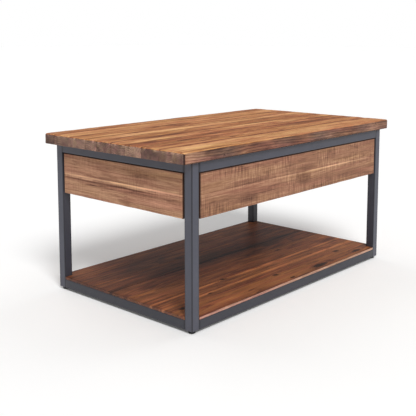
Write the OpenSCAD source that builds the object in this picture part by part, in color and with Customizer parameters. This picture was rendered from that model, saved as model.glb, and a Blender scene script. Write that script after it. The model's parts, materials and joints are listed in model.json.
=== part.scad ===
// Lift top coffee table. A butcher block top rides on two parallelogram lift
// mechanisms over a storage box, in a frame of square tube with an open shelf.
// The origin is the centre of the footprint on the floor, +X along the length.
// The top rises and travels level toward +Y.

/* [Table top] */
// Length of the top
top_l = 1067; // [1000:1:1200]
// Depth of the top
top_w = 606; // [590:1:640]
// Height of the table from the floor to the top surface
table_h = 508; // [490:1:540]
// Thickness of the top
top_t = 32; // [28:1:38]
// Corner radius of the top, seen from above
top_corner_r = 8; // [2:1:14]
// Overhang of the top past the frame at each end
overhang_end = 40; // [20:1:60]
// Overhang of the top past the frame at the front and rear
overhang_side = 10.5; // [6:0.5:16]

/* [Frame] */
// Width of the square tube
tube = 28.5; // [26:0.5:32]
// Wall of the square tube
tube_wall = 1.5; // [1:0.5:2.5]
// Height of the feet below the legs
foot_h = 8; // [6:1:12]
// Diameter of the feet
foot_d = 20; // [16:1:24]
// Height of the rubber bumpers between the frame and the top
bumper_h = 1; // [0.5:0.5:2]

/* [Storage box] */
// Height of the aprons round the box
apron_h = 127; // [122:1:140]
// Share of the apron height that is the lower board
lower_share = 0.52; // [0.45:0.01:0.6]
// Thickness of the apron boards
apron_t = 18; // [15:1:20]
// Set back of the aprons from the faces of the legs
apron_recess = 1; // [0.5:0.5:3]
// Gap between the ends of an apron and the legs
apron_gap = 5; // [2:0.5:8]
// Thickness of the box bottom
bottom_t = 8; // [6:1:9]

/* [Shelf] */
// Thickness of the shelf lip that covers the bottom rails
lip_t = 8; // [6:1:12]
// Thickness of the shelf below its lip
under_t = 10; // [6:1:14]

/* [Lift mechanism] */
// Distance between the pivots of an arm
arm_len = 175; // [165:1:180]
// Angle of the arms above the horizontal with the top down
closed_angle = 5; // [4:0.5:7]
// Angle through which the arms turn to raise the top
lift_angle = 93; // [85:1:95]
// Distance between the two base pivots, and between the two top pivots
pivot_gap = 60; // [56:1:62]
// Thickness of the bracket plates
plate_t = 3; // [2:0.5:3]
// Thickness of the arms
arm_t = 4; // [3:0.5:4]
// Radius of the pivot pins
pin_r = 4; // [3:0.5:4]
// Lowering of the drive pivot below the underside of the top
pivot_drop = 76; // [74:1:78]

/* [Hidden] */
$fn = 48;
wire_fn = 24;
eps = 0.01;
// How far a cutting shape runs past the face it cuts
past = 1;

// Widths of the boards from the front edge to the rear edge, as shares
STAVE_SHARES = [94, 69, 68, 59, 63, 49, 70, 82, 52];
SHELF_SHARES = [112, 50, 86, 87, 83, 84, 83];

function sum_to(v, n) = n <= 0 ? 0 : v[n - 1] + sum_to(v, n - 1);
function edge_y(v, n, width) = width * (sum_to(v, n) / sum_to(v, len(v)) - 0.5);

// Frame
frame_l = top_l - 2 * overhang_end;
frame_w = top_w - 2 * overhang_side;
top_under = table_h - top_t;
frame_top = top_under - bumper_h;
inner_x = frame_l / 2 - tube;
inner_y = frame_w / 2 - tube;
bottom_rail_z = foot_h;
top_rail_z = frame_top - tube;
shelf_z = bottom_rail_z + tube;
leg_clear = 1;
clear_x = inner_x - leg_clear;
clear_y = inner_y - leg_clear;

// Box
rail_gap = 1.5;
apron_top = top_rail_z - rail_gap;
apron_z = apron_top - apron_h;
apron_x = frame_l / 2 - apron_recess;
apron_y = frame_w / 2 - apron_recess;
box_x = apron_x - apron_t;
box_y = apron_y - apron_t;
seam_z = apron_z + apron_h * lower_share;
cleat_h = 12;
cleat_w = 15;
cleat_z = apron_z + 2;
cleat_x = inner_x - apron_gap - 5;
cleat_y = inner_y - apron_gap - 25;
cleat_joint = 0.5;
bottom_z = cleat_z + cleat_h;
bottom_clear = 3.5;
floor_z = bottom_z + bottom_t;

// Steel tabs and screws of the box
tab_t = 3;
tab_l = 45;
tab_h = 90;
tab_inset = 12;
upper_screw_rise = 24;
lower_screw_drop = 30;
hinge_gap = 9;
screw_r = 2;
screw_head_r = 4;
screw_head_h = 2.4;
screw_clear = 0.1;
box_screw_l = 17;
base_screw_l = 12;
top_screw_l = 22;

// Lift mechanism, in planes across X from the end of the box inward
plate_x = inner_x - plate_t;
arm_gap = 3;
arm_x = plate_x - arm_gap - arm_t;
flange_gap = 1.5;
flange_x = arm_x - flange_gap - plate_t;
axial_clear = 0.2;
run_clear = 0.05;
open_clear = 0.3;
seat_clear = 0.02;
head_t = 2.2;
head_r = 6.5;
shoulder_r = 8;

// Pivots as [y, z] with the top down: base drive A, base guide B, top drive C, top guide D
function toward(angle, dist) = [-dist * cos(angle), dist * sin(angle)];
link_angle = 140;
pivot_a = [91.5, top_under - pivot_drop];
pivot_b = pivot_a + toward(link_angle, pivot_gap);
pivot_c = pivot_a + toward(closed_angle, arm_len);
pivot_d = pivot_b + toward(closed_angle, arm_len);

// Arms
eye_step = 2;
drive_w = 24;
guide_w = 22;
tail_w = 18;
tail_angle = 130;
tail_len = 45;
sync_dist = 45;
sync_r = 8;
sync_wall = 1.5;
sync_at = pivot_a + toward(closed_angle, sync_dist);

// Spring from the stud on the tail of the drive arm to the anchor pin
stud_r = 3.5;
stud_cap_r = 5.5;
stud_cap_t = 1.5;
spring_stud = pivot_a + toward(closed_angle - tail_angle, tail_len);
anchor_reach = 190;
anchor_drop = 45;
spring_anchor = [pivot_a[0] - anchor_reach, pivot_a[1] - anchor_drop];
spring_r = 7;
spring_wire_r = 1;
spring_bore_r = 5;
spring_gap = 15;
spring_x = plate_x - spring_gap;
stud_reach = 6;
stud_end_x = spring_x - stud_reach;
hook_clear = 0.7;
hook_r = stud_r + hook_clear + spring_wire_r;
coil_inset = 14;
coil_end_t = 2;
coil_grip = 1;
spring_len = norm(spring_stud - spring_anchor);
spring_tilt = atan2(spring_stud[1] - spring_anchor[1], spring_stud[0] - spring_anchor[0]);

// Stop that the guide arm meets with the top fully raised
stop_r = 5;
stop_stem_r = 3;
stop_clear = 0.4;
stop_dist = 22;
stop_reach = 1;
open_angle = closed_angle + lift_angle;
stop_off = guide_w / 2 + stop_r + stop_clear;
stop_at = pivot_b + toward(open_angle, stop_dist) + toward(open_angle + 90, stop_off);

// Base bracket outline
plate_r = 8;
strip_h = 28;
strip_below = 11;
strip_reach = 20;
rear_reach = 35;
upright_reach = 17;
upright_gap = 6;
ramp_reach = 90;
strip_low = spring_anchor[1] - strip_below;
strip_top = strip_low + strip_h;
strip_mid = strip_low + strip_h / 2;
strip_front = spring_anchor[0] - strip_reach;
bracket_rear = pivot_b[0] + rear_reach;
upright_front = pivot_a[0] - upright_reach;
upright_top = top_under - upright_gap;
bracket_outline = [
    [strip_front, strip_low + plate_r],
    [strip_front + plate_r, strip_low],
    [bracket_rear - plate_r, strip_low],
    [bracket_rear, strip_low + plate_r],
    [bracket_rear, upright_top - plate_r],
    [bracket_rear - plate_r, upright_top],
    [upright_front + plate_r, upright_top],
    [upright_front, upright_top - plate_r],
    [upright_front, pivot_a[1] + plate_r],
    [spring_anchor[0] + ramp_reach, strip_top],
    [strip_front + plate_r, strip_top],
    [strip_front, strip_top - plate_r]
];
front_screw_y = spring_anchor[0] + 35;
middle_screw_y = spring_anchor[0] + 105;
rear_screw_y = pivot_b[0] + 20;
high_screw_z = pivot_a[1] + 16;
base_screws = [
    [front_screw_y, strip_mid],
    [middle_screw_y, strip_mid],
    [rear_screw_y, strip_mid],
    [rear_screw_y, high_screw_z]
];

// Top bracket outline
flange_w = 26;
top_strip_reach = 87;
top_strip_front = pivot_c[0] - top_strip_reach;
top_strip_l = 200;
top_strip_h = 20;
top_strip_rear = top_strip_front + top_strip_l;
top_strip_taper = 30;
flange_foot_w = plate_x - flange_x + 24;
top_screw_inset = 17;
top_screw_x = flange_x - top_screw_inset;
top_screws = [-155, -105, -40, 18];

// Feet and bumpers
plug_h = 18;
plug_clear = 0.3;
bumper_r = 6;
bumper_x = 300;

STAVES = [for (i = [1 : len(STAVE_SHARES)]) str("top_stave_", i)];
SHELF_BOARDS = [for (i = [1 : len(SHELF_SHARES)]) str("shelf_board_", i)];

// ---- shared shapes ----

module on_side(side) {
    if (side > 0) children();
    else mirror([1, 0, 0]) children();
}

module both_ends() {
    for (side = [-1, 1]) on_side(side) children();
}

// A box given by its low and high corners
module block(low, high) {
    translate(low) cube(high - low);
}

// A plate drawn in the YZ plane, from x inward face to x + t
module plate(x, t) {
    translate([x, 0, 0]) rotate([90, 0, 90]) linear_extrude(t) children();
}

// A pin along X between two x values, at p = [y, z]
module pin(x0, x1, r, p) {
    translate([x0, p[0], p[1]]) rotate([0, 90, 0]) cylinder(h = x1 - x0, r = r);
}

// A flat bar between two points with a round eye, wider than the bar, at each end
module bar_2d(p, q, w) {
    d = q - p;
    neck = w - 2 * eye_step;
    translate(p) circle(d = w);
    translate(q) circle(d = w);
    translate(p) rotate(atan2(d[1], d[0])) translate([0, -neck / 2]) square([norm(d), neck]);
}

module rounded_2d(low, high, r) {
    translate([low[0] + r, low[1]]) square([high[0] - low[0] - 2 * r, high[1] - low[1]]);
    translate([low[0], low[1] + r]) square([high[0] - low[0], high[1] - low[1] - 2 * r]);
    for (y = [low[0] + r, high[0] - r], z = [low[1] + r, high[1] - r]) translate([y, z]) circle(r);
}

// A countersunk screw pointing down -Z with its head flush at z = 0
module screw(length, grow = 0) {
    translate([0, 0, -length]) cylinder(h = length - grow, r = screw_r + grow);
    translate([0, 0, -screw_head_h])
        cylinder(h = screw_head_h, r1 = screw_r + grow, r2 = screw_head_r + grow);
}

// ---- frame ----

// A square tube along Z, open at both ends
module tube_z(length) {
    difference() {
        cube([tube, tube, length]);
        translate([tube_wall, tube_wall, -eps])
            cube([tube - 2 * tube_wall, tube - 2 * tube_wall, length + 2 * eps]);
    }
}

module leg(sx, sy) {
    color("dimgray")
        translate([sx > 0 ? inner_x : -frame_l / 2, sy > 0 ? inner_y : -frame_w / 2, foot_h]) {
            tube_z(frame_top - foot_h - tube_wall);
            translate([0, 0, frame_top - foot_h - tube_wall]) cube([tube, tube, tube_wall]);
        }
}

module long_rail(side, z) {
    color("dimgray")
        translate([-inner_x, side > 0 ? frame_w / 2 : -inner_y, z])
            rotate([90, 0, 90]) mirror([1, 0, 0]) tube_z(2 * inner_x);
}

module end_rail(side, z) {
    color("dimgray")
        translate([side > 0 ? inner_x : -frame_l / 2, inner_y, z])
            rotate([90, 0, 0]) tube_z(2 * inner_y);
}

module levelling_feet() {
    color("black")
        for (x = [-1, 1], y = [-1, 1])
            translate([x * (frame_l - tube) / 2, y * (frame_w - tube) / 2, 0]) {
                cylinder(h = foot_h, d = foot_d);
                plug_w = tube - 2 * tube_wall - 2 * plug_clear;
                translate([-plug_w / 2, -plug_w / 2, foot_h - eps]) cube([plug_w, plug_w, plug_h]);
            }
}

module lid_bumpers() {
    color("black")
        for (sx = [-1, 1], sy = [-1, 1])
            translate([sx * bumper_x, sy * (frame_w - tube) / 2, frame_top])
                cylinder(h = bumper_h, r = bumper_r);
}

// ---- top ----

// The outline of the whole top, with round corners
module top_blank() {
    translate([0, 0, top_under]) linear_extrude(top_t)
        rounded_2d([-top_l / 2, -top_w / 2], [top_l / 2, top_w / 2], top_corner_r);
}

module top_stave(i) {
    low = edge_y(STAVE_SHARES, i, top_w);
    high = edge_y(STAVE_SHARES, i + 1, top_w);
    color(i % 2 == 0 ? "peru" : "sandybrown")
        difference() {
            intersection() {
                top_blank();
                block([-top_l, low, 0], [top_l, high, table_h + past]);
            }
            for (y = top_screws)
                if (y > low && y < high)
                    both_ends() top_screw_at(y, screw_clear);
        }
}

module top_screw_at(y, grow = 0) {
    translate([top_screw_x, y, top_under - plate_t]) rotate([180, 0, 0]) screw(top_screw_l, grow);
}

// ---- shelf ----

// The room that the four legs take up, with clearance
module leg_corners() {
    for (sx = [-1, 1], sy = [-1, 1])
        block([min(sx * clear_x, sx * frame_l), min(sy * clear_y, sy * frame_w), 0],
              [max(sx * clear_x, sx * frame_l), max(sy * clear_y, sy * frame_w), table_h]);
}

module shelf_board(i) {
    low = edge_y(SHELF_SHARES, i, frame_w);
    high = edge_y(SHELF_SHARES, i + 1, frame_w);
    color(i % 2 == 0 ? "saddlebrown" : "sienna")
        difference() {
            union() {
                block([-frame_l / 2, low, shelf_z], [frame_l / 2, high, shelf_z + lip_t]);
                block([-clear_x, max(low, -clear_y), shelf_z - under_t],
                      [clear_x, min(high, clear_y), shelf_z + eps]);
            }
            leg_corners();
        }
}

// ---- storage box ----

// Heights of the lower and the upper board of an apron
function board_z(upper) = upper ? [seam_z, apron_top] : [apron_z, seam_z];
function tab_screw_z(upper) = upper ? seam_z + upper_screw_rise : seam_z - lower_screw_drop;

module long_apron(side, upper) {
    z = board_z(upper);
    x = inner_x - apron_gap;
    color("rosybrown")
        difference() {
            block([-x, side > 0 ? box_y : -apron_y, z[0]], [x, side > 0 ? apron_y : -box_y, z[1]]);
            for (sx = [-1, 1]) long_screw_at(sx, side, tab_screw_z(upper), screw_clear);
        }
}

module end_apron(side, upper) {
    z = board_z(upper);
    y = inner_y - apron_gap;
    color("rosybrown")
        difference() {
            block([side > 0 ? box_x : -apron_x, -y, z[0]], [side > 0 ? apron_x : -box_x, y, z[1]]);
            for (sy = [-1, 1]) end_screw_at(side, sy, tab_screw_z(upper), screw_clear);
        }
}

module long_screw_at(sx, sy, z, grow = 0) {
    translate([sx * (inner_x - tab_l / 2 - tab_inset), sy * (box_y - tab_t), z])
        rotate([sy * 90, 0, 0]) screw(box_screw_l, grow);
}

module end_screw_at(sx, sy, z, grow = 0) {
    translate([sx * (box_x - tab_t), sy * (inner_y - tab_l / 2 - tab_inset), z])
        rotate([0, -sx * 90, 0]) screw(box_screw_l, grow);
}

module box_tabs() {
    low = seam_z - tab_h / 2;
    color("dimgray")
        difference() {
            for (sx = [-1, 1], sy = [-1, 1]) {
                block([sx > 0 ? inner_x - tab_l : -inner_x, sy > 0 ? box_y - tab_t : -box_y, low],
                      [sx > 0 ? inner_x : -inner_x + tab_l, sy > 0 ? box_y : -box_y + tab_t, low + tab_h]);
                block([sx > 0 ? box_x - tab_t : -box_x, sy > 0 ? inner_y - tab_l : -inner_y, low],
                      [sx > 0 ? box_x : -box_x + tab_t, sy > 0 ? inner_y : -inner_y + tab_l, low + tab_h]);
            }
            all_box_screws(screw_clear);
        }
}

module all_box_screws(grow = 0) {
    for (sx = [-1, 1], sy = [-1, 1], upper = [false, true]) {
        long_screw_at(sx, sy, tab_screw_z(upper), grow);
        end_screw_at(sx, sy, tab_screw_z(upper), grow);
    }
}

module box_screws() {
    color("gray") all_box_screws();
}

module box_bottom() {
    x = box_x - bottom_clear;
    y = box_y - bottom_clear;
    color("tan")
        difference() {
            block([-x, -y, bottom_z], [x, y, bottom_z + bottom_t]);
            leg_corners();
        }
}

module bottom_cleats() {
    color("tan") {
        for (sy = [-1, 1])
            block([-cleat_x, sy > 0 ? box_y - cleat_w : -box_y, cleat_z],
                  [cleat_x, sy > 0 ? box_y : -box_y + cleat_w, bottom_z]);
        for (sx = [-1, 1])
            block([sx > 0 ? cleat_x + cleat_joint : -box_x, -cleat_y, cleat_z],
                  [sx > 0 ? box_x : -cleat_x - cleat_joint, cleat_y, bottom_z]);
    }
}

module hinge_boards() {
    color("burlywood")
        difference() {
            both_ends()
                block([inner_x, -inner_y + tab_l + hinge_gap, floor_z],
                      [box_x, inner_y - tab_l - hinge_gap, apron_top]);
            both_ends() all_base_screws(screw_clear);
        }
}

// ---- lift mechanism, fixed to the box ----

module all_base_screws(grow = 0) {
    for (p = base_screws)
        translate([plate_x, p[0], p[1]]) rotate([0, -90, 0]) screw(base_screw_l, grow);
}

module base_bracket(side) {
    color("black")
        on_side(side) difference() {
            plate(plate_x, plate_t) polygon(bracket_outline);
            for (p = [pivot_a, pivot_b]) pin(plate_x - past, inner_x + past, pin_r + seat_clear, p);
            pin(plate_x - past, inner_x + past, stud_r + seat_clear, spring_anchor);
            pin(plate_x - past, inner_x + past, stop_stem_r + seat_clear, stop_at);
            all_base_screws(screw_clear);
        }
}

module base_bracket_screws() {
    color("silver") both_ends() all_base_screws();
}

module base_pivot_pins() {
    color("silver")
        both_ends() for (p = [pivot_a, pivot_b]) {
            pin(arm_x - axial_clear, inner_x, pin_r, p);
            pin(arm_x + arm_t + axial_clear, plate_x, shoulder_r, p);
            pin(arm_x - axial_clear - head_t, arm_x - axial_clear, head_r, p);
        }
}

module spring_anchor_pins() {
    color("silver")
        both_ends() {
            pin(stud_end_x, inner_x, stud_r, spring_anchor);
            pin(stud_end_x, stud_end_x + stud_cap_t, stud_cap_r, spring_anchor);
        }
}

module stop_buffers() {
    color("black")
        both_ends() {
            pin(arm_x - stop_reach, plate_x, stop_r, stop_at);
            pin(plate_x - eps, inner_x, stop_stem_r, stop_at);
        }
}

// ---- lift mechanism, moving ----

module drive_arm(side) {
    color("black")
        on_side(side) {
            difference() {
                plate(arm_x, arm_t) {
                    bar_2d(pivot_a, pivot_c, drive_w);
                    bar_2d(pivot_a, spring_stud, tail_w);
                }
                for (p = [pivot_a, pivot_c]) pin(arm_x - past, arm_x + arm_t + past, pin_r + run_clear, p);
            }
            pin(stud_end_x, arm_x + eps, stud_r, spring_stud);
            pin(stud_end_x, stud_end_x + stud_cap_t, stud_cap_r, spring_stud);
        }
}

module sync_bar() {
    color("black")
        difference() {
            pin(-arm_x, arm_x, sync_r, sync_at);
            pin(-arm_x - past, arm_x + past, sync_r - sync_wall, sync_at);
        }
}

module guide_arm(side) {
    color("black")
        on_side(side) difference() {
            plate(arm_x, arm_t) bar_2d(pivot_b, pivot_d, guide_w);
            pin(arm_x - past, arm_x + arm_t + past, pin_r + run_clear, pivot_b);
            pin(arm_x - past, arm_x + arm_t + past, pin_r + open_clear, pivot_d);
        }
}

// A ring of wire round a stud
module hook(p) {
    translate([spring_x, p[0], p[1]]) rotate([0, 90, 0])
        rotate_extrude() translate([hook_r, 0]) circle(spring_wire_r, $fn = wire_fn);
}

module extension_spring(side) {
    coil_len = spring_len - 2 * coil_inset;
    color("silver")
        on_side(side) {
            hook(spring_anchor);
            hook(spring_stud);
            translate([spring_x, spring_anchor[0], spring_anchor[1]])
                rotate([spring_tilt - 90, 0, 0]) {
                    difference() {
                        translate([0, 0, coil_inset]) cylinder(h = coil_len, r = spring_r);
                        translate([0, 0, coil_inset + coil_end_t])
                            cylinder(h = coil_len - 2 * coil_end_t, r = spring_bore_r);
                    }
                    for (z = [hook_r, spring_len - coil_inset - coil_grip])
                        translate([0, 0, z])
                            cylinder(h = coil_inset + coil_grip - hook_r, r = spring_wire_r);
                }
        }
}

module top_bracket(side) {
    color("black")
        on_side(side) difference() {
            union() {
                plate(flange_x, plate_t) {
                    bar_2d(pivot_c, pivot_d, flange_w);
                    translate([top_strip_front, top_under - top_strip_h]) square([top_strip_l, top_strip_h]);
                    polygon([
                        pivot_c + [-flange_w / 2, 0],
                        pivot_c,
                        pivot_d,
                        pivot_d + [flange_w / 2, 0],
                        [top_strip_rear - top_strip_taper, top_under - top_strip_h / 2],
                        [top_strip_front + top_strip_taper, top_under - top_strip_h / 2]
                    ]);
                }
                block([flange_x + plate_t - flange_foot_w, top_strip_front, top_under - plate_t],
                      [flange_x + plate_t, top_strip_rear, top_under]);
            }
            for (p = [pivot_c, pivot_d])
                pin(flange_x - past, flange_x + plate_t + past, pin_r + seat_clear, p);
            for (y = top_screws) top_screw_at(y, screw_clear);
        }
}

module top_pivot_pins() {
    color("silver")
        both_ends() for (p = [pivot_c, pivot_d]) {
            pin(flange_x, arm_x + arm_t + axial_clear, pin_r, p);
            pin(flange_x - head_t, flange_x, head_r, p);
            pin(flange_x + plate_t, arm_x - axial_clear, shoulder_r, p);
            pin(arm_x + arm_t + axial_clear, arm_x + arm_t + head_t, head_r, p);
        }
}

module top_bracket_screws() {
    color("silver") both_ends() for (y = top_screws) top_screw_at(y);
}

// ---- the part ----

leg(-1, -1);  // leg_front_left
leg(1, -1);  // leg_front_right
leg(-1, 1);  // leg_rear_left
leg(1, 1);  // leg_rear_right
long_rail(-1, top_rail_z);  // top_rail_front
long_rail(1, top_rail_z);  // top_rail_rear
end_rail(-1, top_rail_z);  // top_rail_left
end_rail(1, top_rail_z);  // top_rail_right
long_rail(-1, bottom_rail_z);  // bottom_rail_front
long_rail(1, bottom_rail_z);  // bottom_rail_rear
end_rail(-1, bottom_rail_z);  // bottom_rail_left
end_rail(1, bottom_rail_z);  // bottom_rail_right
levelling_feet();
for (i = [0 : len(STAVES) - 1]) top_stave(i);
for (i = [0 : len(SHELF_BOARDS) - 1]) shelf_board(i);
long_apron(-1, true);  // front_apron_upper
long_apron(-1, false);  // front_apron_lower
long_apron(1, true);  // rear_apron_upper
long_apron(1, false);  // rear_apron_lower
end_apron(-1, true);  // left_apron_upper
end_apron(-1, false);  // left_apron_lower
end_apron(1, true);  // right_apron_upper
end_apron(1, false);  // right_apron_lower
box_bottom();
bottom_cleats();
hinge_boards();
box_tabs();
box_screws();
base_bracket(-1);  // base_bracket_left
base_bracket(1);  // base_bracket_right
base_pivot_pins();
spring_anchor_pins();
base_bracket_screws();
stop_buffers();
lid_bumpers();
drive_arm(-1);  // drive_arm_left
drive_arm(1);  // drive_arm_right
sync_bar();
guide_arm(-1);  // guide_arm_left
guide_arm(1);  // guide_arm_right
extension_spring(-1);  // spring_left
extension_spring(1);  // spring_right
top_bracket(-1);  // top_bracket_left
top_bracket(1);  // top_bracket_right
top_pivot_pins();
top_bracket_screws();
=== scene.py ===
import json
from math import cos, pi, radians, sin

import bmesh
import bpy
import numpy as np
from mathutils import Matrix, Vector


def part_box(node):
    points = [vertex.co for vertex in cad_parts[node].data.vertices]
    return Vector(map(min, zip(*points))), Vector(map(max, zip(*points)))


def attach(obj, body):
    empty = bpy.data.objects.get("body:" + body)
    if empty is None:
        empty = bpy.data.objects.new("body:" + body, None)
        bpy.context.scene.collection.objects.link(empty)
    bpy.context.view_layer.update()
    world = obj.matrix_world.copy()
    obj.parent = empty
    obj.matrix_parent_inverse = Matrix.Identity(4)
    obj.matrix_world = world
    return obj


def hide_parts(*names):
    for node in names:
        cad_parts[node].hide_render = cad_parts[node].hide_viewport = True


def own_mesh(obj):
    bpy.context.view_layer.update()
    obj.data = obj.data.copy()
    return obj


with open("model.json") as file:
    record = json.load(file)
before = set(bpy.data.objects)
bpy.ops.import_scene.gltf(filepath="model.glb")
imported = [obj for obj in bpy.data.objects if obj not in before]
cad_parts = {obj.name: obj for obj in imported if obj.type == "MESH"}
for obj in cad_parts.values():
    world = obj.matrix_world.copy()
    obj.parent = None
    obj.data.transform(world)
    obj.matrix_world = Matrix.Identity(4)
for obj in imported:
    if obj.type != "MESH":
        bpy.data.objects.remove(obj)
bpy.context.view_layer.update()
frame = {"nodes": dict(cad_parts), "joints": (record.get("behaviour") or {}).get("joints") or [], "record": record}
SCENE = bpy.context.scene
MM = 0.001
BODIES = frame["record"]["behaviour"]["bodies"]
BODY_OF = {node: body for body, nodes in BODIES.items() for node in nodes}


# ---- noise, used by the mesh code ----


def hashed(i, j, k, seed):
    """A fixed value from 0 to 1 for each whole cell i, j, k."""
    n = (i * 374761393 + j * 668265263 + k * 362437 + seed * 1274126177) & 0xFFFFFFFF
    n = ((n ^ (n >> 13)) * 1274126177) & 0xFFFFFFFF
    return ((n ^ (n >> 16)) & 0xFFFFFF) / 0xFFFFFF


def noise(seed, x, y=0.0, z=0.0):
    """Smooth value noise from -1 to 1 at cell coordinates x, y, z."""
    x, y, z = np.broadcast_arrays(*(np.asarray(v, float) for v in (x, y, z)))
    cell = [np.floor(v).astype(np.int64) for v in (x, y, z)]
    part = [v - c for v, c in zip((x, y, z), cell)]
    part = [f * f * (3 - 2 * f) for f in part]
    total = 0.0
    for corner in range(8):
        bit = [(corner >> a) & 1 for a in range(3)]
        weight = 1.0
        for a in range(3):
            weight = weight * (part[a] if bit[a] else 1 - part[a])
        total = total + weight * hashed(*(cell[a] + bit[a] for a in range(3)), seed)
    return 2 * total - 1


def step(a, b, v):
    """0 at a, 1 at b, smooth between them. a may be the larger one."""
    t = np.clip((v - a) / (b - a), 0, 1)
    return t * t * (3 - 2 * t)


# ---- mesh building, in millimetres ----


def box_mm(*nodes):
    """Lowest and highest corner round some CAD nodes, in millimetres."""
    boxes = [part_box(n) for n in nodes]
    low = np.min([np.array(b[0]) for b in boxes], 0)
    high = np.max([np.array(b[1]) for b in boxes], 0)
    return low / MM, high / MM


def ticks(a, b, pitch, fine=(0.4, 1.0, 2.0)):
    """Lines from a to b about pitch apart, with closer lines at both ends."""
    near = np.array([0.0] + [f for f in fine if f < (b - a) / 3])
    inner_a, inner_b = a + near[-1], b - near[-1]
    count = max(1, round((inner_b - inner_a) / pitch))
    middle = np.linspace(inner_a, inner_b, count + 1)
    return np.unique(np.concatenate([a + near, middle, b - near]).round(4))


def with_lines(lines, extra):
    """Lattice lines with some more among them."""
    inside = [v for v in extra if lines[0] < v < lines[-1]]
    return np.unique(np.concatenate([lines, inside]).round(3))


def depth_in(v, a, b):
    """How far v lies from the nearer of a and b, going in."""
    return np.minimum(v - a, b - v)


def lattice(xs, ys, zs, filled=None):
    """The outer faces of the filled cells between lattice lines: (points, quads)."""
    centre = np.meshgrid(*((v[1:] + v[:-1]) / 2 for v in (xs, ys, zs)), indexing="ij")
    full = filled(*centre) if filled else np.ones(centre[0].shape, bool)
    padded = np.pad(full, 1)
    ring = [(0, 0), (1, 0), (1, 1), (0, 1)]
    quads = []
    for axis in range(3):
        u, v = (axis + 1) % 3, (axis + 2) % 3
        for side in (0, 1):
            move = [slice(1, -1)] * 3
            move[axis] = slice(2, None) if side else slice(0, -2)
            cells = np.argwhere(full & ~padded[tuple(move)])
            corners = []
            for a, b in ring if side else ring[::-1]:
                offset = np.zeros(3, int)
                offset[[axis, u, v]] = side, a, b
                corners.append((cells + offset) @ (len(ys) * len(zs), len(zs), 1))
            quads.append(np.stack(corners, 1))
    quads = np.concatenate(quads)
    used, quads = np.unique(quads, return_inverse=True)
    i, j, k = np.unravel_index(used, (len(xs), len(ys), len(zs)))
    return np.stack([xs[i], ys[j], zs[k]], 1).astype(float), quads.reshape(-1, 4)


def ease(p, low, high, a, side_a, b, side_b, radius):
    """Rounds the edge between two faces of a box, in place. radius may be one number per point."""
    u = (p[:, a] - low[a]) if side_a < 0 else (high[a] - p[:, a])
    v = (p[:, b] - low[b]) if side_b < 0 else (high[b] - p[:, b])
    radius = np.broadcast_to(radius, u.shape)
    ru, rv = radius - u, radius - v
    hit = (ru > 1e-9) & (rv > 1e-9)
    scale = np.maximum(ru, rv)[hit] / np.hypot(ru, rv)[hit]
    u[hit] = radius[hit] - ru[hit] * scale
    v[hit] = radius[hit] - rv[hit] * scale
    p[:, a] = low[a] + u if side_a < 0 else high[a] - u
    p[:, b] = low[b] + v if side_b < 0 else high[b] - v


def placed(name, data, material, crease=0):
    """A new object, smooth but for edges of more than crease degrees."""
    data.materials.append(material)
    data.polygons.foreach_set("use_smooth", [True] * len(data.polygons))
    data.update()
    if crease:
        data.set_sharp_from_angle(angle=radians(crease))
    made = bpy.data.objects.new(name, data)
    SCENE.collection.objects.link(made)
    return made


def mesh(name, points, faces, material, crease=0):
    """A new object from points in millimetres, in the frame of the CAD."""
    data = bpy.data.meshes.new(name)
    places = (np.asarray(points, float) * MM).tolist()
    data.from_pydata(places, [], [list(map(int, f)) for f in faces])
    return placed(name, data, material, crease)


def store(obj, **values):
    """Stores values at the points, one number for each or one for all. A triple is a vector."""
    count = len(obj.data.vertices)
    for name, value in values.items():
        value = np.asarray(value, np.float32)
        vector = value.shape == (3,)
        made = obj.data.attributes.new(name, "FLOAT_VECTOR" if vector else "FLOAT", "POINT")
        every = np.broadcast_to(value, (count, 3) if vector else count)
        made.data.foreach_set("vector" if vector else "value", every.ravel())


def stands_for(obj, nodes):
    """The piece replaces CAD nodes of one body and rides on it."""
    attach(obj, BODY_OF[nodes[0]])
    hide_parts(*nodes)
    return obj


def square_to(axis):
    """Two unit vectors square to the axis and to each other."""
    u = np.cross(axis, (0, 0, 1.0) if abs(axis[2]) < 0.9 else (1.0, 0, 0))
    u /= np.linalg.norm(u)
    return u, np.cross(axis, u)


def circle(u, v, segments):
    """Points of a unit circle in the plane of u and v."""
    turn = (np.arange(segments) * 2 * pi / segments)[:, None]
    return np.cos(turn) * u + np.sin(turn) * v


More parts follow.
